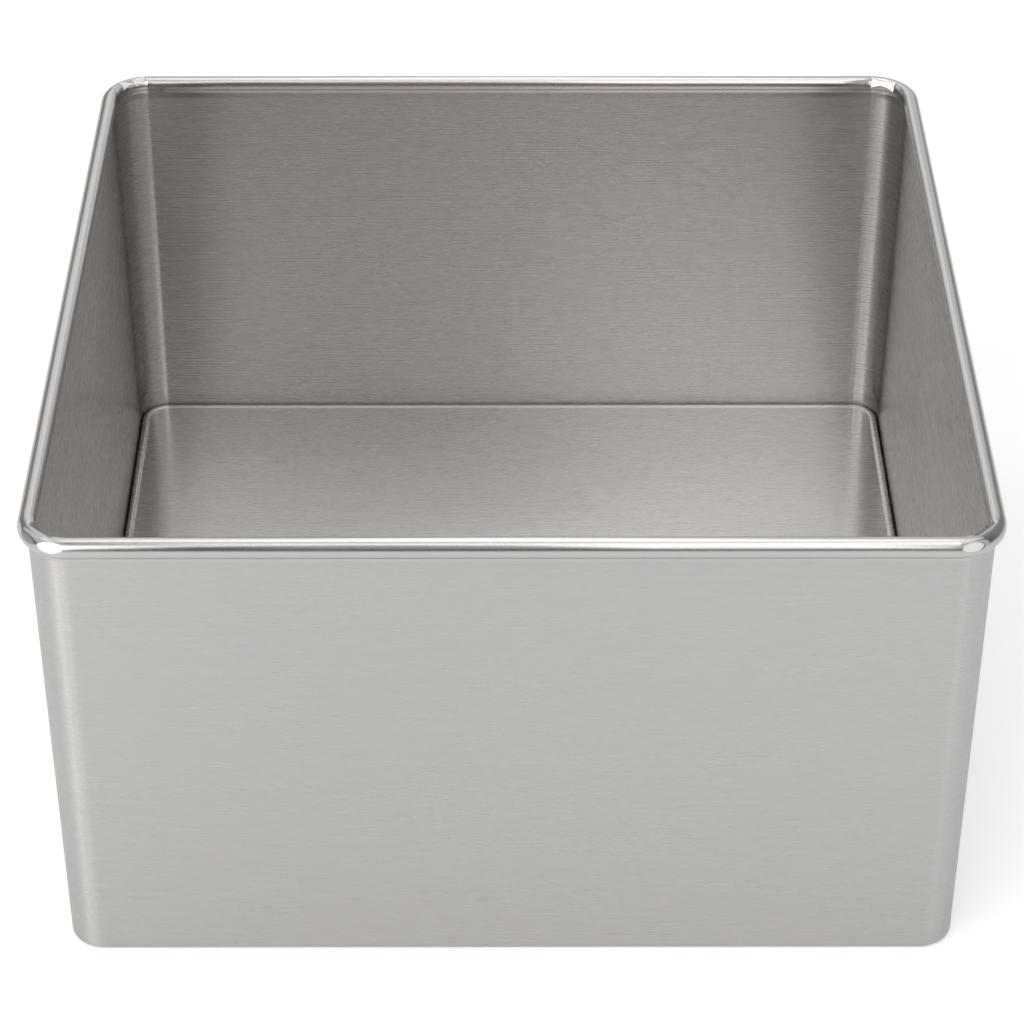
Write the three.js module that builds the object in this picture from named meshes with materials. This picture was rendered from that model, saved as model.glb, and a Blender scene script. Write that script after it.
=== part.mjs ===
// A deep square cake tin: a rolled-rim sheet body on a wired edge, and a loose base that lifts out.
// Millimetres, +Z up. The tin stands on z = 0, centred on the Z axis.
import * as THREE from 'three';

// Driving dimensions of the body
const INSIDE_WIDTH = 178;
const OVERALL_HEIGHT = 101.6;
const WALL_SHEET = 0.8;
// Each wall leans out by this much between the table and the top of the rim
const WALL_DRAFT = 1.4;
// Outside radius of the upright corners, at the top
const CORNER_RADIUS = 8.5;
// Outside radius of the fold between a wall and the ledge
const BOTTOM_BEND_RADIUS = 0.9;
// From the outside of the wall to the edge of the push-up hole
const LEDGE_WIDTH = 7;
const HOLE_CORNER_RADIUS = 12;

// Driving dimensions of the rolled rim and its wire. The roll is wider outside than over the inside of the wall.
const RIM_RADIUS = 2.1;
const RIM_INNER_RADIUS = 1.5;
// Radius at mid-sheet of the bend where the wall is drawn in under the rim
const NECK_RADIUS = 2;
// Left open between the free edge of the curl and the neck
const CURL_GAP = 0.2;
// Between the wire and the sheet on two opposite sides of it
const WIRE_CLEARANCE = 0.1;

// Driving dimensions of the loose base
const BASE_SHEET = 0.8;
// From the ledge to the flat top face of the base
const BASE_HEIGHT = 14;
// The top face turns up into a low bead all round, which turns down again into the skirt
const BEAD_RADIUS = 1;
const BEAD_ROOT_RADIUS = 0.8;
const BEAD_SLOPE = THREE.MathUtils.degToRad(30);
// All round the base as it passes the rim
const LIFT_CLEARANCE = 0.3;
// Kept flat on the ledge outside the skirt
const SEAT_MARGIN = 0.1;

// Fineness of the round stretches
const CORNER_STEPS = 8;
const ARC_STEP = THREE.MathUtils.degToRad(22.5);
const QUARTER_TURN = Math.PI / 2;

// In a section, x is the distance from the Z axis to a flat side and y is the height
const lean = Math.atan(WALL_DRAFT / OVERALL_HEIGHT);
const outwards = new THREE.Vector2(Math.cos(lean), -Math.sin(lean));
const wallTop = INSIDE_WIDTH / 2 + WALL_SHEET;
const cornerCentre = wallTop - CORNER_RADIUS;
const ledgeEdge = wallTop - WALL_DRAFT - LEDGE_WIDTH;

// The middle of the wall's sheet at a given height
function midWall(height) {
  const x = wallTop - (OVERALL_HEIGHT - height) * Math.tan(lean) - WALL_SHEET / 2 / Math.cos(lean);
  return new THREE.Vector2(x, height);
}

// The fold at the bottom, tangent to the table and to the wall
const foldMidRadius = BOTTOM_BEND_RADIUS - WALL_SHEET / 2;
const foldCentre = midWall(BOTTOM_BEND_RADIUS);
foldCentre.x -= foldMidRadius / Math.cos(lean);

// In section the rim is two round stretches that meet at the top, centred over the middle of the sheet
const innerCurl = RIM_INNER_RADIUS - WALL_SHEET;
const outerCurl = RIM_RADIUS - WALL_SHEET;
const rimInnerCentre = midWall(OVERALL_HEIGHT - RIM_INNER_RADIUS);
const rimCentre = new THREE.Vector2(rimInnerCentre.x, OVERALL_HEIGHT - RIM_RADIUS);

// The neck is a reverse bend tangent to the wall and to the inner stretch of the rim
const neckReach = RIM_INNER_RADIUS - WALL_SHEET / 2 + NECK_RADIUS;
const neckAngle = Math.PI - Math.acos(-NECK_RADIUS / neckReach) - lean;
const curlStart = neckAngle + Math.PI;
const neckCentre = new THREE.Vector2(Math.cos(curlStart), Math.sin(curlStart))
  .multiplyScalar(neckReach)
  .add(rimInnerCentre);
const neckOuter = NECK_RADIUS + WALL_SHEET / 2;
const neckInner = NECK_RADIUS - WALL_SHEET / 2;
const neckToRim = rimCentre.clone().sub(neckCentre);

// The curl stops where its free edge comes within the curl gap of the neck
const curlStopCosine = (outerCurl ** 2 + neckToRim.lengthSq() - (neckOuter + CURL_GAP) ** 2)
  / (2 * outerCurl * neckToRim.length());
const curlEnd = neckToRim.angle() - Math.PI + Math.acos(curlStopCosine);

// The wire lies half way between the neck and the far side of the curl
const wireRoom = neckToRim.length() + outerCurl - neckOuter;
const wireRadius = wireRoom / 2 - WIRE_CLEARANCE;
const wireCentre = neckToRim.clone().setLength(neckOuter + wireRoom / 2).add(neckCentre);

// The base passes the rim and stands on the flat of the ledge
const mouth = rimInnerCentre.x - RIM_INNER_RADIUS;
const baseEdge = Math.min(mouth - LIFT_CLEARANCE, foldCentre.x - SEAT_MARGIN);
const baseTop = WALL_SHEET + BASE_HEIGHT;

// The bead is a round stretch tangent to the skirt and, through a smaller reverse one, to the top face
const beadReach = BEAD_RADIUS + BEAD_ROOT_RADIUS;
const beadRootCentre = new THREE.Vector2(
  baseEdge - BEAD_RADIUS - beadReach * Math.sin(BEAD_SLOPE),
  baseTop + BEAD_ROOT_RADIUS,
);
const beadCentre = new THREE.Vector2(Math.sin(BEAD_SLOPE), -Math.cos(BEAD_SLOPE))
  .multiplyScalar(beadReach)
  .add(beadRootCentre);

// Points along a circular stretch of a section
function arc(centre, radius, from, to) {
  const curve = new THREE.EllipseCurve(centre.x, centre.y, radius, radius, from, to, to < from);
  return curve.getPoints(Math.ceil(Math.abs(to - from) / ARC_STEP));
}

// One level loop round a rounded square of the given half width and corner radius
function loopPoints(halfWidth, radius, height) {
  const points = [];
  for (let quarter = 0; quarter < 4; quarter += 1) {
    const diagonal = (quarter + 0.5) * QUARTER_TURN;
    const reach = (halfWidth - radius) * Math.SQRT2;
    for (let step = 0; step <= CORNER_STEPS; step += 1) {
      const turn = (quarter + step / CORNER_STEPS) * QUARTER_TURN;
      const x = reach * Math.cos(diagonal) + radius * Math.cos(turn);
      const y = reach * Math.sin(diagonal) + radius * Math.sin(turn);
      points.push(new THREE.Vector3(x, y, height));
    }
  }
  return points;
}

// All corners turn about the same upright axes, so a point's corner radius follows from its half width
function concentricRadius(point) {
  return point.x - cornerCentre;
}

// The push-up hole has wider corners than the fold that carries the ledge
function bodyRadius(point) {
  return point.x === ledgeEdge ? HOLE_CORNER_RADIUS : concentricRadius(point);
}

// Carries a section round the square. A closed section gives a ring; an open one is capped by flat faces
// on its first and last loops.
function sweep(section, cornerRadius, closed) {
  const vertices = [];
  const faces = [];
  const loopLength = 4 * (CORNER_STEPS + 1);
  for (const point of section) {
    vertices.push(...loopPoints(point.x, cornerRadius(point), point.y));
  }
  const bands = closed ? section.length : section.length - 1;
  for (let band = 0; band < bands; band += 1) {
    const lower = band * loopLength;
    const upper = ((band + 1) % section.length) * loopLength;
    for (let i = 0; i < loopLength; i += 1) {
      const next = (i + 1) % loopLength;
      faces.push(lower + i, lower + next, upper + i);
      faces.push(upper + i, lower + next, upper + next);
    }
  }
  if (!closed) {
    const last = (section.length - 1) * loopLength;
    const firstCentre = vertices.push(new THREE.Vector3(0, 0, section[0].y)) - 1;
    const lastCentre = vertices.push(new THREE.Vector3(0, 0, section.at(-1).y)) - 1;
    for (let i = 0; i < loopLength; i += 1) {
      const next = (i + 1) % loopLength;
      faces.push(firstCentre, next, i);
      faces.push(lastCentre, last + i, last + next);
    }
  }
  const geometry = new THREE.BufferGeometry().setFromPoints(vertices);
  geometry.setIndex(faces);
  geometry.computeVertexNormals();
  return geometry;
}

// The body: ledge, fold, wall, neck and curl along the outside, and back along the inside
function bodyGeometry() {
  const section = [
    new THREE.Vector2(ledgeEdge, 0),
    ...arc(foldCentre, BOTTOM_BEND_RADIUS, -QUARTER_TURN, -lean),
    ...arc(neckCentre, neckOuter, -lean, neckAngle),
    ...arc(rimInnerCentre, innerCurl, curlStart, QUARTER_TURN).slice(1),
    ...arc(rimCentre, outerCurl, QUARTER_TURN, curlEnd).slice(1),
    ...arc(rimCentre, RIM_RADIUS, curlEnd, QUARTER_TURN),
    ...arc(rimInnerCentre, RIM_INNER_RADIUS, QUARTER_TURN, curlStart).slice(1),
    ...arc(neckCentre, neckInner, neckAngle, -lean).slice(1),
    ...arc(foldCentre, BOTTOM_BEND_RADIUS - WALL_SHEET, -lean, -QUARTER_TURN),
    new THREE.Vector2(ledgeEdge, WALL_SHEET),
  ];
  return sweep(section, bodyRadius, true);
}

// The wire: a round section, closed on itself
function wireGeometry() {
  const section = arc(wireCentre, wireRadius, 0, 2 * Math.PI).slice(1);
  return sweep(section, concentricRadius, true);
}

// The base: from the underside, down the inside of the skirt, round its edge, over the bead and to the top face
function baseGeometry() {
  const rootEnd = BEAD_SLOPE - QUARTER_TURN;
  const beadStart = BEAD_SLOPE + QUARTER_TURN;
  const section = [
    ...arc(beadRootCentre, BEAD_ROOT_RADIUS + BASE_SHEET, -QUARTER_TURN, rootEnd),
    ...arc(beadCentre, BEAD_RADIUS - BASE_SHEET, beadStart, 0).slice(1),
    new THREE.Vector2(baseEdge - BASE_SHEET, WALL_SHEET),
    new THREE.Vector2(baseEdge, WALL_SHEET),
    ...arc(beadCentre, BEAD_RADIUS, 0, beadStart),
    ...arc(beadRootCentre, BEAD_ROOT_RADIUS, rootEnd, -QUARTER_TURN).slice(1),
  ];
  return sweep(section, concentricRadius, false);
}

// Finishes
const brushedSteel = new THREE.MeshStandardMaterial({ color: 0xb5b2b0, roughness: 0.34, metalness: 1 });
const drawnWire = new THREE.MeshStandardMaterial({ color: 0x9d9a97, roughness: 0.45, metalness: 1 });

function piece(name, geometry, material) {
  const mesh = new THREE.Mesh(geometry, material);
  mesh.name = name;
  return mesh;
}

const tin = new THREE.Group();
tin.add(piece('tin_body', bodyGeometry(), brushedSteel));
tin.add(piece('rim_wire', wireGeometry(), drawnWire));
tin.add(piece('loose_base', baseGeometry(), brushedSteel));

export default tin;
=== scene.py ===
# %% [markdown]
# # A deep square cake tin with a loose base
# The tin is bent up from brushed steel sheet. Its wall ends in a rolled rim with a wire inside, its foot
# turns in to a narrow ledge, and a shallow tray lies upside down on that ledge as a raised base. A cake is
# freed by pushing the base up through the hole in the bottom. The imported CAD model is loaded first. It
# gives the place and size of each piece, and every better-looking piece below is built in the same frame,
# in metres.

# %% Load the frame
import math

import bpy
import numpy as np
from mathutils import Matrix, Vector


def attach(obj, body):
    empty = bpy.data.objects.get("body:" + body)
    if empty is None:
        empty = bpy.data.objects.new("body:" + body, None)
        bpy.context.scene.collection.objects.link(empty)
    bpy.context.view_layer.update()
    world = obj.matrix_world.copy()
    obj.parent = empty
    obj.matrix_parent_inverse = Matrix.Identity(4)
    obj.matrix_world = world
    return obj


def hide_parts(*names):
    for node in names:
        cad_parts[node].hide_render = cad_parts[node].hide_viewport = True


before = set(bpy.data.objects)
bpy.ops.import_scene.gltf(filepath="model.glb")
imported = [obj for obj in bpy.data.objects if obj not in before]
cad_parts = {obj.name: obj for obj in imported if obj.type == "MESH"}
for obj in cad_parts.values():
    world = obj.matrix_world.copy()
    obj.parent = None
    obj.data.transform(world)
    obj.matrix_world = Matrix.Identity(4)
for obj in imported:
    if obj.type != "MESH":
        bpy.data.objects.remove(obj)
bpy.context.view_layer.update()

# %% [markdown]
# ## The camera
# The photograph looks down on the tin from a little over half a metre away with a long lens. The camera's
# place, its tilt and its lens were found by fitting the tin's corners, so they are plain numbers here. A
# camera looks along its own -Z, and building its axes from the tilt keeps each step readable.

# %% Camera
MM = 0.001
CAMERA_PLACE = Vector((-1.875, -596.163, 463.913)) * MM
LOOK_DOWN = math.radians(35.121)
LOOK_ASIDE = math.radians(0.207)
CAMERA_ROLL = math.radians(0.075)
LENS_MM = 119.907
SENSOR_MM = 36.0
NEAREST_SEEN = 0.01
FARTHEST_SEEN = 20.0

ahead = Vector((
    math.sin(LOOK_ASIDE) * math.cos(LOOK_DOWN),
    math.cos(LOOK_ASIDE) * math.cos(LOOK_DOWN),
    -math.sin(LOOK_DOWN),
))
level_right = Vector((math.cos(LOOK_ASIDE), -math.sin(LOOK_ASIDE), 0.0))
level_up = level_right.cross(ahead)
right = level_right * math.cos(CAMERA_ROLL) + level_up * math.sin(CAMERA_ROLL)
up = level_up * math.cos(CAMERA_ROLL) - level_right * math.sin(CAMERA_ROLL)

camera_data = bpy.data.cameras.new("photo_camera")
camera_data.lens = LENS_MM
camera_data.sensor_width = SENSOR_MM
camera_data.clip_start = NEAREST_SEEN
camera_data.clip_end = FARTHEST_SEEN
camera = bpy.data.objects.new("photo_camera", camera_data)
camera.matrix_world = Matrix.Translation(CAMERA_PLACE) @ Matrix((right, up, -ahead)).transposed().to_4x4()
bpy.context.scene.collection.objects.link(camera)
bpy.context.scene.camera = camera
print("camera at", tuple(round(v, 3) for v in CAMERA_PLACE), "lens", LENS_MM)

# %% [markdown]
# ## The sheet in section
# Cut the tin across and the cut shows a thin strip: along the ledge, round a small fold, up a wall that
# leans out slightly, in under the rim and round the curl. The strip could be drawn by hand, but its bends
# are circles that touch each other and the wall, so it is worked out from a few sizes. In a section the
# first number is the distance from the middle of the tin to a flat side, and the second is the height.

# %% Sizes of the body
INSIDE_WIDTH = 178.0 * MM
OVERALL_HEIGHT = 101.6 * MM
SHEET = 0.8 * MM
# How far each wall leans out between the table and the rim
WALL_DRAFT = 1.4 * MM
CORNER_RADIUS = 8.5 * MM
# Outside radius of the fold between a wall and the ledge
FOLD_RADIUS = 0.9 * MM
LEDGE_WIDTH = 7.0 * MM
HOLE_CORNER_RADIUS = 12.0 * MM
# The rim is rolled rounder on the outside than over the inside of the wall
RIM_RADIUS = 2.1 * MM
RIM_INNER_RADIUS = 1.5 * MM
NECK_RADIUS = 2.0 * MM
CURL_GAP = 0.2 * MM
# Cut edges of the sheet are rounded off by this much
EDGE_ROUND = 0.15 * MM

lean = math.atan(WALL_DRAFT / OVERALL_HEIGHT)
wall_top = INSIDE_WIDTH / 2 + SHEET
corner_centre = wall_top - CORNER_RADIUS
ledge_edge = wall_top - WALL_DRAFT - LEDGE_WIDTH


def mid_wall(height):
    """Where the middle of the wall's sheet is at a height."""
    return wall_top - (OVERALL_HEIGHT - height) * math.tan(lean) - SHEET / 2 / math.cos(lean)


fold_centre = (
    mid_wall(FOLD_RADIUS) - (FOLD_RADIUS - SHEET / 2) / math.cos(lean),
    FOLD_RADIUS,
)
inner_height = OVERALL_HEIGHT - RIM_INNER_RADIUS
rim_inner_centre = np.array((mid_wall(inner_height), inner_height))
rim_centre = np.array((rim_inner_centre[0], OVERALL_HEIGHT - RIM_RADIUS))
neck_reach = RIM_INNER_RADIUS - SHEET / 2 + NECK_RADIUS
neck_angle = math.pi - math.acos(-NECK_RADIUS / neck_reach) - lean
curl_start = neck_angle + math.pi
neck_centre = rim_inner_centre + neck_reach * np.array((math.cos(curl_start), math.sin(curl_start)))
neck_outer = NECK_RADIUS + SHEET / 2
neck_inner = NECK_RADIUS - SHEET / 2
# The curl stops just short of the neck
neck_away = rim_centre - neck_centre
neck_distance = np.linalg.norm(neck_away)
outer_curl = RIM_RADIUS - SHEET
curl_stop_cosine = (
    outer_curl ** 2 + neck_distance ** 2 - (neck_outer + CURL_GAP) ** 2
) / (2 * outer_curl * neck_distance)
curl_end = math.atan2(neck_away[1], neck_away[0]) - math.pi + math.acos(curl_stop_cosine)
print("rim centre", tuple(round(v / MM, 2) for v in rim_centre), "mm")

# %% Stretches of a section
ARC_STEP = math.radians(6)
# A point this close to a bend keeps its round shading off the flat beside it
BEND_MARGIN = 0.3 * MM


def arc(centre, radius, start, end):
    """Points along a round stretch, both ends included."""
    steps = max(2, math.ceil(abs(end - start) / ARC_STEP))
    turns = np.linspace(start, end, steps + 1)
    return [(centre[0] + radius * math.cos(t), centre[1] + radius * math.sin(t)) for t in turns]


def flat(start, end, steps):
    """Points along a straight stretch, without its ends, with one close to each bend."""
    start = np.array(start)
    end = np.array(end)
    margin = BEND_MARGIN / np.linalg.norm(end - start)
    shares = np.linspace(margin, 1 - margin, steps + 1)
    return [tuple(start + (end - start) * share) for share in shares]


def concentric(points):
    """Adds each point's corner radius: all corners turn about the same four upright lines."""
    return [(x, z, x - corner_centre) for x, z in points]


# %% Section of the body
WALL_STEPS = 24
QUARTER = math.pi / 2


def hole_side(points):
    """The push-up hole has wider corners of its own."""
    return [(x, z, HOLE_CORNER_RADIUS + x - ledge_edge) for x, z in points]


hole_lip_low = arc((ledge_edge + EDGE_ROUND, EDGE_ROUND), EDGE_ROUND, 2 * QUARTER, 3 * QUARTER)
hole_lip_high = arc((ledge_edge + EDGE_ROUND, SHEET - EDGE_ROUND), EDGE_ROUND, QUARTER, 2 * QUARTER)
fold_outside = arc(fold_centre, FOLD_RADIUS, -QUARTER, -lean)
fold_inside = arc(fold_centre, FOLD_RADIUS - SHEET, -lean, -QUARTER)
neck_outside = arc(neck_centre, neck_outer, -lean, neck_angle)
neck_inside = arc(neck_centre, neck_inner, neck_angle, -lean)
curl_inside = (
    arc(rim_inner_centre, RIM_INNER_RADIUS - SHEET, curl_start, QUARTER)
    + arc(rim_centre, outer_curl, QUARTER, curl_end)[1:]
)
curl_outside = (
    arc(rim_centre, RIM_RADIUS, curl_end, QUARTER)
    + arc(rim_inner_centre, RIM_INNER_RADIUS, QUARTER, curl_start)[1:]
)

body_section = (
    hole_side(hole_lip_low)
    + concentric(fold_outside)
    + concentric(flat(fold_outside[-1], neck_outside[0], WALL_STEPS))
    + concentric(neck_outside)
    + concentric(curl_inside[1:])
    + concentric(curl_outside)
    + concentric(neck_inside[1:])
    + concentric(flat(neck_inside[-1], fold_inside[0], WALL_STEPS))
    + concentric(fold_inside)
    + hole_side(hole_lip_high)
)
print("body section:", len(body_section), "points")

# %% Sections of the wire and the base
WIRE_CLEARANCE = 0.1 * MM
BASE_SHEET = 0.8 * MM
BASE_HEIGHT = 14.0 * MM
# The flat face turns up into a low bead before it turns down into the skirt
BEAD_RADIUS = 1.0 * MM
BEAD_ROOT_RADIUS = 0.8 * MM
BEAD_SLOPE = math.radians(30)
LIFT_CLEARANCE = 0.3 * MM
SEAT_MARGIN = 0.1 * MM
SKIRT_STEPS = 4
BASE_RINGS = 8

# The wire lies half way between the neck and the far side of the curl
wire_room = neck_distance + outer_curl - neck_outer
wire_centre = neck_centre + neck_away / neck_distance * (neck_outer + wire_room / 2)
wire_section = concentric(arc(wire_centre, wire_room / 2 - WIRE_CLEARANCE, 0.0, 4 * QUARTER)[1:])

mouth = rim_inner_centre[0] - RIM_INNER_RADIUS
base_edge = min(mouth - LIFT_CLEARANCE, fold_centre[0] - SEAT_MARGIN)
base_top = SHEET + BASE_HEIGHT
bead_reach = BEAD_RADIUS + BEAD_ROOT_RADIUS
root_centre = (base_edge - BEAD_RADIUS - bead_reach * math.sin(BEAD_SLOPE), base_top + BEAD_ROOT_RADIUS)
bead_centre = (base_edge - BEAD_RADIUS, root_centre[1] - bead_reach * math.cos(BEAD_SLOPE))
root_end = BEAD_SLOPE - QUARTER
bead_start = BEAD_SLOPE + QUARTER


def base_flat(height, outwards):
    """Rings over a flat face of the base, from its middle to the bend or back."""
    shares = np.linspace(0.0, 1.0, BASE_RINGS + 1)
    edge = root_centre[0] - BEND_MARGIN
    rows = [(edge * s, height, (edge - corner_centre) * s) for s in shares]
    return rows if outwards else rows[::-1]


bead_under = (
    arc(root_centre, BEAD_ROOT_RADIUS + BASE_SHEET, -QUARTER, root_end)
    + arc(bead_centre, BEAD_RADIUS - BASE_SHEET, bead_start, 0.0)[1:]
)
bead_over = (
    arc(bead_centre, BEAD_RADIUS, 0.0, bead_start)
    + arc(root_centre, BEAD_ROOT_RADIUS, root_end, -QUARTER)[1:]
)
skirt_lip_inside = arc(
    (base_edge - BASE_SHEET + EDGE_ROUND, SHEET + EDGE_ROUND), EDGE_ROUND, 2 * QUARTER, 3 * QUARTER
)
skirt_lip_outside = arc((base_edge - EDGE_ROUND, SHEET + EDGE_ROUND), EDGE_ROUND, -QUARTER, 0.0)
base_section = (
    base_flat(base_top - BASE_SHEET, True)
    + concentric(bead_under)
    + concentric(flat(bead_under[-1], skirt_lip_inside[0], SKIRT_STEPS))
    + concentric(skirt_lip_inside)
    + concentric(skirt_lip_outside)
    + concentric(flat(skirt_lip_outside[-1], bead_over[0], SKIRT_STEPS))
    + concentric(bead_over)
    + base_flat(base_top, False)
)
print("wire section:", len(wire_section), "points; base section:", len(base_section), "points")

# %% [markdown]
# ## One rule for three pieces
# The body, the wire and the base are each one section carried round a square with rounded corners. A plain
# sweep along a curve would squash the sheet in the corners, because the corners have a different radius at
# each depth. So a small Geometry Nodes tree does it by a rule instead. It makes a grid of rings, then puts
# every point where its own half width, height and corner radius say. The same tree serves all three pieces,
# and its inputs set how finely the corners and the sides are divided.

# %% Helpers for node trees
def node(tree, kind, **settings):
    """A new node with its settings."""
    made = tree.nodes.new(kind)
    for name, value in settings.items():
        setattr(made, name, value)
    return made


def feed(tree, socket, value):
    """Links a socket to another one, or sets a plain value on it."""
    if isinstance(value, bpy.types.NodeSocket):
        tree.links.new(value, socket)
    else:
        socket.default_value = value


def calc(tree, operation, *values):
    """A Math node with its inputs, as its output."""
    made = node(tree, "ShaderNodeMath", operation=operation)
    for socket, value in zip(made.inputs, values):
        feed(tree, socket, value)
    return made.outputs[0]


def combine(tree, x, y, z):
    """Three numbers as one vector."""
    made = node(tree, "ShaderNodeCombineXYZ")
    for socket, value in zip(made.inputs, (x, y, z)):
        feed(tree, socket, value)
    return made.outputs[0]


# %% Helpers for geometry trees
def stored(tree, name):
    """A number that the points carry under a name."""
    made = node(tree, "GeometryNodeInputNamedAttribute", data_type="FLOAT")
    made.inputs["Name"].default_value = name
    return made.outputs["Attribute"]


def store(tree, geometry, name, value, data_type="FLOAT", domain="POINT"):
    """Gives every point or face corner a value under a name."""
    made = node(tree, "GeometryNodeStoreNamedAttribute", data_type=data_type, domain=domain)
    feed(tree, made.inputs["Geometry"], geometry)
    made.inputs["Name"].default_value = name
    feed(tree, made.inputs["Value"], value)
    return made.outputs["Geometry"]


def through(tree, kind, geometry, **values):
    """Passes geometry through one node, with its other inputs set by name."""
    made = node(tree, kind)
    feed(tree, made.inputs[0], geometry)
    for name, value in values.items():
        feed(tree, made.inputs[name.replace("_", " ")], value)
    return made.outputs[0]


# %% The sweep tree, its inputs and its ring
def ring_points(tree, corner_steps, side_steps):
    """A closed ring whose points know their corner's place, their turn and their way round."""
    per_quarter = calc(tree, "ADD", corner_steps, side_steps)
    ring = node(tree, "GeometryNodeCurvePrimitiveCircle", mode="RADIUS")
    feed(tree, ring.inputs["Resolution"], calc(tree, "MULTIPLY", per_quarter, 4.0))
    index = node(tree, "GeometryNodeInputIndex").outputs[0]
    quarter = calc(tree, "FLOOR", calc(tree, "DIVIDE", index, per_quarter))
    step = calc(tree, "SUBTRACT", index, calc(tree, "MULTIPLY", quarter, per_quarter))
    round_corner = calc(tree, "MINIMUM", calc(tree, "DIVIDE", step, corner_steps), 1.0)
    past_corner = calc(tree, "MAXIMUM", calc(tree, "SUBTRACT", step, corner_steps), 0.0)
    along = calc(tree, "DIVIDE", past_corner, side_steps)
    # The points of a side crowd towards its ends
    eased = calc(tree, "SUBTRACT", 1.0, calc(tree, "COSINE", calc(tree, "MULTIPLY", along, math.pi)))
    side_share = calc(tree, "MULTIPLY", eased, 0.5)
    turn = calc(tree, "MULTIPLY", calc(tree, "ADD", quarter, round_corner), QUARTER)
    geometry = store(tree, ring.outputs["Curve"], "turn", turn)
    # The way round is measured on the outside of the wall, along the corners and the sides
    corner_length = QUARTER * CORNER_RADIUS
    side_length = 2 * corner_centre
    passed = calc(tree, "MULTIPLY", quarter, corner_length + side_length)
    passed = calc(tree, "ADD", passed, calc(tree, "MULTIPLY", round_corner, corner_length))
    way_round = calc(tree, "ADD", passed, calc(tree, "MULTIPLY", side_share, side_length))
    geometry = store(tree, geometry, "way_round", way_round)
    # A side runs from the middle line of its own corner to that of the next one
    for axis, wave in (("x", "COSINE"), ("y", "SINE")):
        ends = []
        for corner in (0.5, 1.5):
            diagonal = calc(tree, "MULTIPLY", calc(tree, "ADD", quarter, corner), QUARTER)
            ends.append(calc(tree, "MULTIPLY", calc(tree, wave, diagonal), math.sqrt(2.0)))
        change = calc(tree, "SUBTRACT", ends[1], ends[0])
        place = calc(tree, "ADD", ends[0], calc(tree, "MULTIPLY", change, side_share))
        geometry = store(tree, geometry, "corner_" + axis, place)
    return geometry


def rounded_square_place(tree, half_width, radius, height):
    """Where a point goes: its corner's centre, and its radius turned round it."""
    reach = calc(tree, "SUBTRACT", half_width, radius)
    turn = stored(tree, "turn")
    spots = []
    for axis, wave in (("x", "COSINE"), ("y", "SINE")):
        centre = calc(tree, "MULTIPLY", stored(tree, "corner_" + axis), reach)
        spots.append(calc(tree, "ADD", centre, calc(tree, "MULTIPLY", calc(tree, wave, turn), radius)))
    return combine(tree, spots[0], spots[1], height)


# %% The sweep tree itself
# Points closer than this, as in the middle of the base, become one
MERGE_DISTANCE = 0.0001 * MM


def build_sheet_sweep():
    """The Geometry Nodes tree that carries a sheet's section round the tin."""
    tree = bpy.data.node_groups.new("sheet_sweep", "GeometryNodeTree")
    made = {}
    for name, kind in (
        ("Section", "NodeSocketGeometry"),
        ("Corner Steps", "NodeSocketInt"),
        ("Side Steps", "NodeSocketInt"),
        ("Pressed Blank", "NodeSocketBool"),
        ("Finish", "NodeSocketMaterial"),
    ):
        made[name] = tree.interface.new_socket(name, in_out="INPUT", socket_type=kind)
    tree.interface.new_socket("Sheet", in_out="OUTPUT", socket_type="NodeSocketGeometry")
    given = node(tree, "NodeGroupInput").outputs
    result = node(tree, "NodeGroupOutput").inputs

    ring = ring_points(tree, given["Corner Steps"], given["Side Steps"])
    section = through(tree, "GeometryNodeMeshToCurve", given["Section"])
    sheet = through(tree, "GeometryNodeCurveToMesh", ring, Profile_Curve=section)
    half_width = stored(tree, "half_width")
    radius = stored(tree, "corner_radius")
    place = rounded_square_place(tree, half_width, radius, stored(tree, "height"))
    sheet = through(tree, "GeometryNodeSetPosition", sheet, Position=place)

    # A rolled wall is mapped by its way round, a pressed blank by the flat sheet it was pressed from
    spread = calc(tree, "SUBTRACT", stored(tree, "across"), half_width)
    blank_width = calc(tree, "ADD", half_width, spread)
    blank_radius = calc(tree, "ADD", radius, spread)
    blank = rounded_square_place(tree, blank_width, blank_radius, 0.0)
    rolled = combine(tree, stored(tree, "way_round"), stored(tree, "across"), 0.0)
    choice = node(tree, "GeometryNodeSwitch", input_type="VECTOR")
    feed(tree, choice.inputs["Switch"], given["Pressed Blank"])
    feed(tree, choice.inputs["False"], rolled)
    feed(tree, choice.inputs["True"], blank)
    sheet = store(tree, sheet, "sheet_map", choice.outputs[0], "FLOAT2", "CORNER")

    sheet = through(tree, "GeometryNodeMergeByDistance", sheet, Distance=MERGE_DISTANCE)
    sheet = through(tree, "GeometryNodeFlipFaces", sheet)
    sheet = through(tree, "GeometryNodeSetShadeSmooth", sheet, Shade_Smooth=True)
    sheet = through(tree, "GeometryNodeRealizeInstances", sheet)
    sheet = through(tree, "GeometryNodeSetMaterial", sheet, Material=given["Finish"])
    feed(tree, result["Sheet"], sheet)
    return tree, {name: socket.identifier for name, socket in made.items()}


sheet_sweep, sweep_inputs = build_sheet_sweep()
print("sheet_sweep tree:", len(sheet_sweep.nodes), "nodes, inputs", list(sweep_inputs))


# %% From a section to a plain mesh
# Bends sharper than this keep a hard edge in the shading
HARD_EDGE = math.radians(40)


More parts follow.
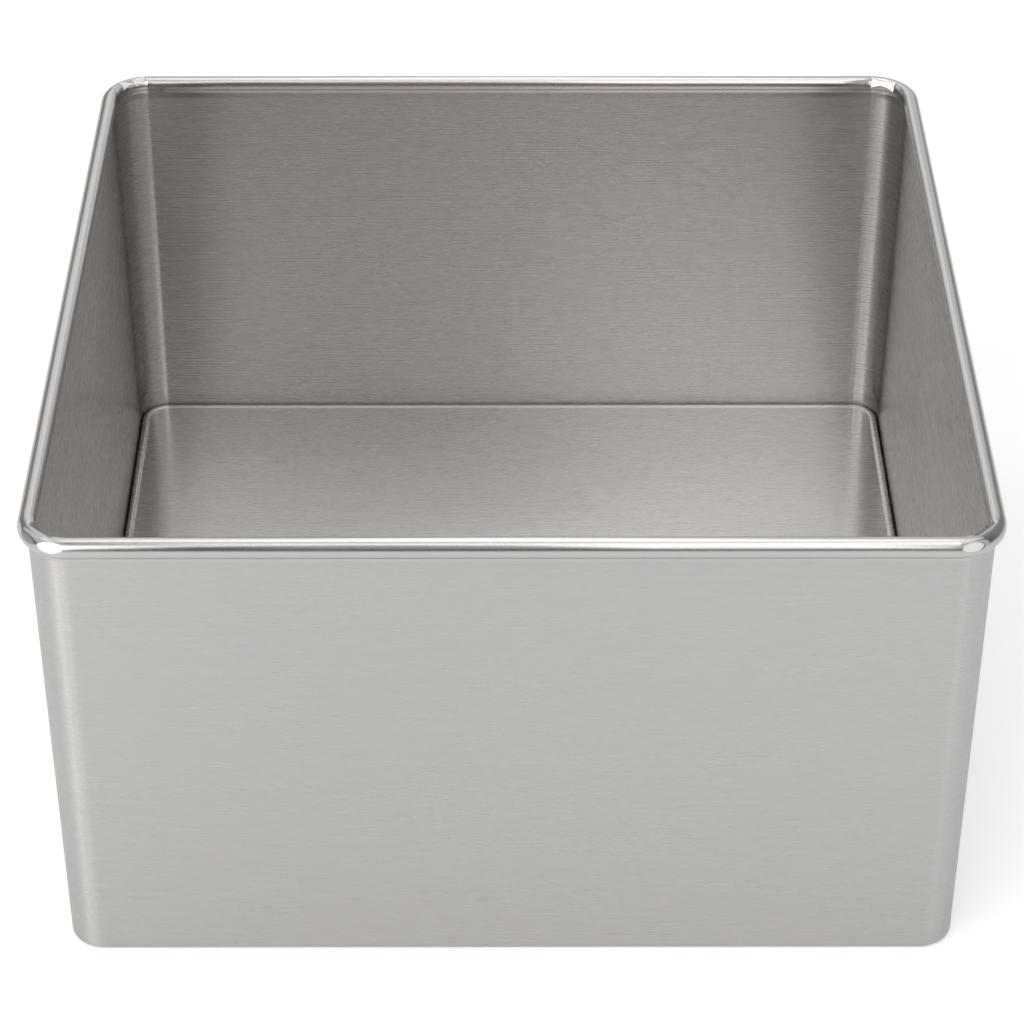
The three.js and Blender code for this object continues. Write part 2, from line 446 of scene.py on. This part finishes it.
def swept_piece(name, section, closed, corner_steps, side_steps, pressed, finish):
    """Makes a section object, runs the sweep tree on it and keeps the result as a plain mesh."""
    points = [(x, 0.0, z) for x, z, radius in section]
    count = len(points)
    edges = [(i, (i + 1) % count) for i in range(count if closed else count - 1)]
    lengths = [math.dist(points[i], points[i + 1]) for i in range(count - 1)]
    across = np.concatenate(([0.0], np.cumsum(lengths)))
    if pressed:
        # Measured from the middle of the blank, on the upper face and on the under face
        across = np.minimum(across, across[-1] - across)
    outline = bpy.data.meshes.new(name + "_section")
    outline.from_pydata(points, edges, [])
    for key, values in (
        ("half_width", [row[0] for row in section]),
        ("height", [row[1] for row in section]),
        ("corner_radius", [row[2] for row in section]),
        ("across", across),
    ):
        outline.attributes.new(key, "FLOAT", "POINT").data.foreach_set("value", np.array(values, np.float32))
    maker = bpy.data.objects.new(name + "_section", outline)
    bpy.context.scene.collection.objects.link(maker)
    sweep = maker.modifiers.new("sheet_sweep", "NODES")
    sweep.node_group = sheet_sweep
    sweep[sweep_inputs["Corner Steps"]] = corner_steps
    sweep[sweep_inputs["Side Steps"]] = side_steps
    sweep[sweep_inputs["Pressed Blank"]] = pressed
    sweep[sweep_inputs["Finish"]] = finish
    depsgraph = bpy.context.evaluated_depsgraph_get()
    mesh = bpy.data.meshes.new_from_object(maker.evaluated_get(depsgraph), depsgraph=depsgraph)
    mesh.name = name
    # What only the sweep needed is dropped; the finish still reads how far across the sheet a point lies
    for key in ("turn", "way_round", "corner_x", "corner_y", "half_width", "height", "corner_radius"):
        mesh.attributes.remove(mesh.attributes[key])
    bpy.data.objects.remove(maker)
    piece = bpy.data.objects.new(name, mesh)
    bpy.context.scene.collection.objects.link(piece)
    mesh.set_sharp_from_angle(angle=HARD_EDGE)
    print(name, len(mesh.vertices), "points", len(mesh.polygons), "faces")
    return piece


# %% [markdown]
# ## Brushed steel
# Both sheets were brushed before they were bent, so fine lines run level round the walls and from side to
# side over the base. Such lines stretch every highlight across themselves: a wall mirrors sharply from left
# to right and blurs up and down. A picture of brushed metal could be laid on, but it would blur close up. So
# the shader's anisotropy gives the stretch, and a grain group draws the single lines from noise. The group
# is shared, so both sheets and the wire look like one metal.

# %% The grain group
# Across the lines the noise is fine, and along them it is drawn out
LINES_PER_METRE = 4000.0
WAVES_PER_METRE = 40.0
LINE_DETAIL = 3.0
LINE_BREAK_UP = 0.65


def build_brushed_grain():
    """A node group that draws fine lines along a sheet."""
    tree = bpy.data.node_groups.new("brushed_grain", "ShaderNodeTree")
    for name, kind, value in (
        ("Along", "NodeSocketVector", None),
        ("Across", "NodeSocketFloat", 0.0),
        ("Lines per Metre", "NodeSocketFloat", LINES_PER_METRE),
        ("Waves per Metre", "NodeSocketFloat", WAVES_PER_METRE),
    ):
        socket = tree.interface.new_socket(name, in_out="INPUT", socket_type=kind)
        if value is not None:
            socket.default_value = value
    tree.interface.new_socket("Lines", in_out="OUTPUT", socket_type="NodeSocketFloat")
    given = node(tree, "NodeGroupInput").outputs
    result = node(tree, "NodeGroupOutput").inputs
    along = node(tree, "ShaderNodeSeparateXYZ")
    feed(tree, along.inputs[0], given["Along"])
    slow = [calc(tree, "MULTIPLY", along.outputs[i], given["Waves per Metre"]) for i in (0, 1)]
    fast = calc(tree, "MULTIPLY", given["Across"], given["Lines per Metre"])
    lines = node(tree, "ShaderNodeTexNoise", noise_dimensions="3D")
    feed(tree, lines.inputs["Vector"], combine(tree, slow[0], slow[1], fast))
    lines.inputs["Scale"].default_value = 1.0
    lines.inputs["Detail"].default_value = LINE_DETAIL
    lines.inputs["Roughness"].default_value = LINE_BREAK_UP
    feed(tree, result["Lines"], lines.outputs["Fac"])
    return tree


brushed_grain = build_brushed_grain()
print("brushed_grain group:", len(brushed_grain.nodes), "nodes")


# %% Helpers for the steel materials
# A quarter of a turn, in the shader's own measure, stretches highlights across the lines
STRETCH_TURN = 0.25


def remap(tree, value, low, high):
    """Turns a value from 0 to 1 into one from low to high."""
    made = node(tree, "ShaderNodeMapRange")
    feed(tree, made.inputs["Value"], value)
    made.inputs["To Min"].default_value = low
    made.inputs["To Max"].default_value = high
    return made.outputs["Result"]


def steel_material(name, pressed, stretch):
    """A steel with the grain group in it. Returns the material, its tree, its shader and the grain."""
    material = bpy.data.materials.new(name)
    material.use_nodes = True
    tree = material.node_tree
    shader = tree.nodes["Principled BSDF"]
    shader.inputs["Metallic"].default_value = 1.0
    shader.inputs["Anisotropic"].default_value = stretch
    shader.inputs["Anisotropic Rotation"].default_value = STRETCH_TURN
    tangent = node(tree, "ShaderNodeTangent", direction_type="UV_MAP", uv_map="sheet_map")
    feed(tree, shader.inputs["Tangent"], tangent.outputs[0])
    grain = node(tree, "ShaderNodeGroup", node_tree=brushed_grain)
    if pressed:
        blank = node(tree, "ShaderNodeUVMap", uv_map="sheet_map")
        parts = node(tree, "ShaderNodeSeparateXYZ")
        feed(tree, parts.inputs[0], blank.outputs[0])
        feed(tree, grain.inputs["Along"], combine(tree, parts.outputs[0], 0.0, 0.0))
        feed(tree, grain.inputs["Across"], parts.outputs[1])
    else:
        place = node(tree, "ShaderNodeTexCoord")
        feed(tree, grain.inputs["Along"], place.outputs["Object"])
        across = node(tree, "ShaderNodeAttribute", attribute_name="across")
        feed(tree, grain.inputs["Across"], across.outputs["Fac"])
    return material, tree, shader, grain


# %% Colour and relief of the lines
LINE_STRENGTH = 0.05
LINE_DEPTH = 0.02 * MM


def grain_colour(tree, grain, dark, light):
    """The steel's colour between two greys, by its lines."""
    made = node(tree, "ShaderNodeMix", data_type="RGBA")
    feed(tree, made.inputs["Factor"], grain.outputs["Lines"])
    colours = [socket for socket in made.inputs if socket.type == "RGBA"]
    colours[0].default_value = dark
    colours[1].default_value = light
    return [socket for socket in made.outputs if socket.type == "RGBA"][0]


def raise_lines(tree, shader, height):
    """Lets the lines stand out of the surface a little."""
    bump = node(tree, "ShaderNodeBump")
    bump.inputs["Strength"].default_value = LINE_STRENGTH
    bump.inputs["Distance"].default_value = LINE_DEPTH
    feed(tree, bump.inputs["Height"], height)
    feed(tree, shader.inputs["Normal"], bump.outputs[0])


# %% The wall's steel
SHEET_DARK = (0.56, 0.542, 0.528, 1.0)
SHEET_LIGHT = (0.65, 0.632, 0.618, 1.0)
SHEET_ROUGH = (0.24, 0.3)
SHEET_STRETCH = 1.0
# The polish of the rim starts just under the curl and is full from its lowest point up
RIM_POLISH_STARTS = OVERALL_HEIGHT - 2.6 * RIM_RADIUS
RIM_POLISH_FULL = OVERALL_HEIGHT - 2.0 * RIM_RADIUS
RIM_ROUGH = (0.13, 0.2)
# The rolling tool has pressed most of the lines out of the rim
RIM_LINES_LEFT = 0.2


def build_wall_steel():
    """Brushed lines round the wall, and a smoother polish on the rolled rim."""
    material, tree, shader, grain = steel_material("brushed_wall_steel", False, SHEET_STRETCH)
    feed(tree, shader.inputs["Base Color"], grain_colour(tree, grain, SHEET_DARK, SHEET_LIGHT))
    place = node(tree, "ShaderNodeTexCoord")
    height = node(tree, "ShaderNodeSeparateXYZ")
    feed(tree, height.inputs[0], place.outputs["Object"])
    rolled = node(tree, "ShaderNodeMapRange", interpolation_type="SMOOTHSTEP")
    feed(tree, rolled.inputs["Value"], height.outputs[2])
    rolled.inputs["From Min"].default_value = RIM_POLISH_STARTS
    rolled.inputs["From Max"].default_value = RIM_POLISH_FULL
    wall_rough = remap(tree, grain.outputs["Lines"], *SHEET_ROUGH)
    rim_rough = remap(tree, grain.outputs["Lines"], *RIM_ROUGH)
    blend = node(tree, "ShaderNodeMix", data_type="FLOAT")
    feed(tree, blend.inputs["Factor"], rolled.outputs["Result"])
    feed(tree, blend.inputs[2], wall_rough)
    feed(tree, blend.inputs[3], rim_rough)
    feed(tree, shader.inputs["Roughness"], blend.outputs[0])
    lines_left = remap(tree, rolled.outputs["Result"], 1.0, RIM_LINES_LEFT)
    raise_lines(tree, shader, calc(tree, "MULTIPLY", grain.outputs["Lines"], lines_left))
    return material


wall_steel = build_wall_steel()
print("material", wall_steel.name)


# %% The base's steel and the wire
WIRE_DARK = (0.3, 0.29, 0.28, 1.0)
WIRE_LIGHT = (0.42, 0.41, 0.4, 1.0)
WIRE_ROUGH = (0.35, 0.5)
WIRE_STRETCH = 0.6


def build_plain_steel(name, pressed, stretch, dark, light, rough):
    """A steel with brushed or drawn lines and one range of roughness."""
    material, tree, shader, grain = steel_material(name, pressed, stretch)
    feed(tree, shader.inputs["Base Color"], grain_colour(tree, grain, dark, light))
    feed(tree, shader.inputs["Roughness"], remap(tree, grain.outputs["Lines"], *rough))
    raise_lines(tree, shader, grain.outputs["Lines"])
    return material


base_steel = build_plain_steel(
    "brushed_base_steel", True, SHEET_STRETCH, SHEET_DARK, SHEET_LIGHT, SHEET_ROUGH
)
wire_steel = build_plain_steel(
    "drawn_wire_steel", False, WIRE_STRETCH, WIRE_DARK, WIRE_LIGHT, WIRE_ROUGH
)
print("materials", base_steel.name, wire_steel.name)

# %% [markdown]
# ## The body
# The wall, the rolled rim and the ledge are one bent sheet, so they are one piece here too. Separate strips
# would be quicker to draw, but a seam would show wherever a highlight runs over a bend. The corners get more
# steps than the sides because they are all curve.

# %% Body
BODY_CORNER_STEPS = 48
BODY_SIDE_STEPS = 16
tin_shell = swept_piece(
    "tin_shell",
    body_section,
    closed=True,
    corner_steps=BODY_CORNER_STEPS,
    side_steps=BODY_SIDE_STEPS,
    pressed=False,
    finish=wall_steel,
)

# %% [markdown]
# ## Puckers in the corners of the rim
# A curl rolled round a tight corner has more metal than it has room for, so the rolling tool leaves small
# flat knuckles there. They could be sculpted by hand, but a rule gives the same flats on every run. Each one
# is made by pressing the round curl against a plane: points that stand out past the plane are moved back
# almost onto it, and the sheet behind them is left as it was.

# %% Puckers
# Degrees round the tin from +X, degrees up the curl from level, and how deep the plane cuts
PUCKERS = (
    (250, 21, 0.28 * MM),
    (220, 26, 0.22 * MM),
    (196, 22, 0.20 * MM),
    (225, 118, 0.14 * MM),
    (289, 27, 0.28 * MM),
    (318, 118, 0.14 * MM),
    (66, 150, 0.08 * MM),
    (120, 125, 0.12 * MM),
    (138, 110, 0.10 * MM),
)
# Points further than this from the middle of the curl stay where they are
PUCKER_REACH = 3.5 * MM
# The edge of a flat is rounded over about this depth
PUCKER_EASE = 0.04 * MM


def press_puckers(piece):
    """Flattens the curl of a swept piece at each pucker. Returns how many points moved."""
    mesh = piece.data
    spots = np.empty(len(mesh.vertices) * 3, np.float32)
    mesh.vertices.foreach_get("co", spots)
    spots = spots.reshape(-1, 3).astype(float)
    moved = 0
    for turn, lift, depth in PUCKERS:
        around = math.radians(turn)
        above = math.radians(lift)
        side = np.array((math.cos(around), math.sin(around)))
        corner = np.sign(side) * corner_centre
        inner_side = above > QUARTER
        centre = rim_inner_centre if inner_side else rim_centre
        radius = RIM_INNER_RADIUS if inner_side else RIM_RADIUS
        middle = np.append(corner + side * (centre[0] - corner_centre), centre[1])
        facing = np.append(side * math.cos(above), math.sin(above))
        apart = spots - middle
        past = apart @ facing - (radius - depth)
        pressed = (past > 0.0) & (np.linalg.norm(apart, axis=1) < PUCKER_REACH)
        eased = past[pressed] ** 2 / (past[pressed] + PUCKER_EASE)
        spots[pressed] -= np.outer(eased, facing)
        moved += int(pressed.sum())
    mesh.vertices.foreach_set("co", spots.astype(np.float32).ravel())
    mesh.update()
    return moved


print("puckers:", len(PUCKERS), "with", press_puckers(tin_shell), "points moved")

# %% [markdown]
# ## The wire in the rim
# A wire stiffens the rolled edge. It is hidden by the curl, apart from what shows through the narrow gap
# under it. A curve with a round bevel would do, but the sweep already knows the way round the corners, so
# the wire is the same tree with a round section.

# %% Wire
edge_wire = swept_piece(
    "edge_wire",
    wire_section,
    closed=True,
    corner_steps=BODY_CORNER_STEPS,
    side_steps=BODY_SIDE_STEPS,
    pressed=False,
    finish=wire_steel,
)

# %% [markdown]
# ## The loose base
# The base is a shallow tray pressed from sheet and laid upside down, so its skirt stands on the ledge and
# its flat bottom is the raised face that carries the cake. A low bead runs round its edge, left by the press
# where the sheet turns down, and it catches the light as a thin line along the wall. A bevelled box would
# give the face alone. The sweep gives the face, the bead and the skirt as one sheet, with a flat map of the
# blank that it was pressed from, so the brushed lines run straight over it.

# %% Base
BASE_CORNER_STEPS = 24
push_up_base = swept_piece(
    "push_up_base",
    base_section,
    closed=False,
    corner_steps=BASE_CORNER_STEPS,
    side_steps=BODY_SIDE_STEPS,
    pressed=True,
    finish=base_steel,
)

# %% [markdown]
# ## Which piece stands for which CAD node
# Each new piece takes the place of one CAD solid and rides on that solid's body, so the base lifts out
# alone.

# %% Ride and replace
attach(tin_shell, "tin")
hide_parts("tin_body")
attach(edge_wire, "tin")
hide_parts("rim_wire")
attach(push_up_base, "base")
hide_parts("loose_base")

# %% [markdown]
# ## Floor and light
# The tin stands on a white floor under plain soft studio light. Brushed metal has hardly any colour of its
# own: what it shows is the room. One big lamp would leave it flat, so many soft boxes stand where the
# photograph's highlights say, each with a brightness found by comparing a render with the photograph.

# %% Floor
FLOOR_SIZE = 12.0
# The floor lies a hair under the tin, so that their faces do not share a plane
FLOOR_DROP = 0.02 * MM
FLOOR_COLOUR = (0.86, 0.86, 0.86, 1.0)
FLOOR_ROUGHNESS = 0.9
WHITE = (1.0, 1.0, 1.0, 1.0)
# Added to what the lamps give the floor, so that it comes out white away from the shadow
FLOOR_GLOW = 0.36
# The same in the metal's mirror image of the floor
FLOOR_GLOW_IN_METAL = 0.1


def build_floor():
    """A wide white floor that stays white in the picture, and still takes a soft shadow."""
    material = bpy.data.materials.new("white_floor")
    material.use_nodes = True
    tree = material.node_tree
    shader = tree.nodes["Principled BSDF"]
    shader.inputs["Base Color"].default_value = FLOOR_COLOUR
    shader.inputs["Roughness"].default_value = FLOOR_ROUGHNESS
    shader.inputs["Specular IOR Level"].default_value = 0.0
    rays = node(tree, "ShaderNodeLightPath")
    mirrored = calc(tree, "MAXIMUM", rays.outputs["Is Glossy Ray"], rays.outputs["Is Transmission Ray"])
    in_picture = calc(tree, "MULTIPLY", rays.outputs["Is Camera Ray"], FLOOR_GLOW)
    in_metal = calc(tree, "MULTIPLY", mirrored, FLOOR_GLOW_IN_METAL)
    shader.inputs["Emission Color"].default_value = WHITE
    feed(tree, shader.inputs["Emission Strength"], calc(tree, "ADD", in_picture, in_metal))
    half = FLOOR_SIZE / 2
    mesh = bpy.data.meshes.new("floor")
    corners = [(-half, -half), (half, -half), (half, half), (-half, half)]
    mesh.from_pydata([(x, y, -FLOOR_DROP) for x, y in corners], [], [(0, 1, 2, 3)])
    mesh.materials.append(material)
    floor = bpy.data.objects.new("floor", mesh)
    bpy.context.scene.collection.objects.link(floor)
    return floor


floor = build_floor()
print("floor", FLOOR_SIZE, "m wide")

# %% World
ROOM_FRONT = 0.08
ROOM_BACK = 0.28
# How far to either side of the middle, as a sine, the one turns into the other
ROOM_BLEND = 0.35
world = bpy.data.worlds.new("studio")
world.use_nodes = True
bpy.context.scene.world = world
room = world.node_tree
direction = node(room, "ShaderNodeSeparateXYZ")
feed(room, direction.inputs[0], node(room, "ShaderNodeTexCoord").outputs["Generated"])
depth = node(room, "ShaderNodeMapRange", interpolation_type="SMOOTHSTEP")
feed(room, depth.inputs["Value"], direction.outputs["Y"])
depth.inputs["From Min"].default_value = -ROOM_BLEND
depth.inputs["From Max"].default_value = ROOM_BLEND
depth.inputs["To Min"].default_value = ROOM_FRONT
depth.inputs["To Max"].default_value = ROOM_BACK
room.nodes["Background"].inputs["Color"].default_value = WHITE
feed(room, room.nodes["Background"].inputs["Strength"], depth.outputs["Result"])
print("room light from", ROOM_FRONT, "in front to", ROOM_BACK, "behind")


# %% Soft boxes
BOX_DISTANCE = 2.0


def soft_box(name, azimuth, elevation, wide, high, radiance):
    """A soft box that faces the tin, its size in degrees as the tin sees it.

    Azimuth 0 is the camera's side, and turns towards +X.
    """
    width = 2 * BOX_DISTANCE * math.tan(math.radians(wide / 2))
    height = 2 * BOX_DISTANCE * math.tan(math.radians(high / 2))
    around = math.radians(azimuth)
    above = math.radians(elevation)
    aim = Vector((0.0, 0.0, OVERALL_HEIGHT / 2))
    away = Vector((
        math.sin(around) * math.cos(above),
        -math.cos(around) * math.cos(above),
        math.sin(above),
    ))
    lamp = bpy.data.lights.new(name, "AREA")
    lamp.shape = "RECTANGLE"
    lamp.size = width
    lamp.size_y = height
    # A lamp of this power shows the wanted brightness at its own face
    lamp.energy = radiance * math.pi * width * height
    box = bpy.data.objects.new(name, lamp)
    box.location = aim + away * BOX_DISTANCE
    box.rotation_euler = (-away).to_track_quat("-Z", "Y").to_euler()
    bpy.context.scene.collection.objects.link(box)
    return box


soft_boxes = (
    soft_box("key_low_left", -57, 13, 14, 24, 1.51),
    soft_box("key_low", -44, 13, 12, 24, 4.29),
    soft_box("key_low_right", -29, 13, 18, 24, 2.09),
    soft_box("key_high_left", -55, 42, 16, 34, 0.80),
    soft_box("key_high", -32, 42, 30, 34, 1.86),
    soft_box("key_edge", -14, 28, 8, 26, 2.05),
    soft_box("front_middle", -1, 40, 9, 34, 0.37),
    soft_box("front_strip", 7, 40, 7, 34, 1.40),
    soft_box("front_right", 15, 40, 9, 34, 0.70),
    soft_box("right_low", 38, 14, 14, 26, 1.32),
    soft_box("right_middle", 38, 40, 20, 26, 0.45),
    soft_box("right_front", 24, 20, 12, 40, 0.34),
    soft_box("right_far", 62, 26, 24, 44, 0.62),
    soft_box("right_high", 34, 64, 40, 20, 0.79),
    soft_box("top_front", 10, 72, 22, 18, 1.40),
    soft_box("top_right", 140, 74, 44, 28, 1.05),
    soft_box("top_left", -140, 74, 44, 28, 0.76),
    soft_box("back_left", -165, 40, 30, 40, 0.66),
    soft_box("back_right", 165, 30, 30, 50, 0.46),
    soft_box("left_side", -95, 45, 50, 40, 0.58),
)
print(len(soft_boxes), "soft boxes placed")

# %% [markdown]
# ## Finish
# The picture keeps the plain Standard view transform, and light may bounce many times between the steel
# faces.

# %% Finish
bpy.context.scene.view_settings.view_transform = "Standard"
# Light bounces many times between the walls and the base before it leaves the tin
GLOSSY_BOUNCES = 12
bpy.context.scene.cycles.glossy_bounces = GLOSSY_BOUNCES
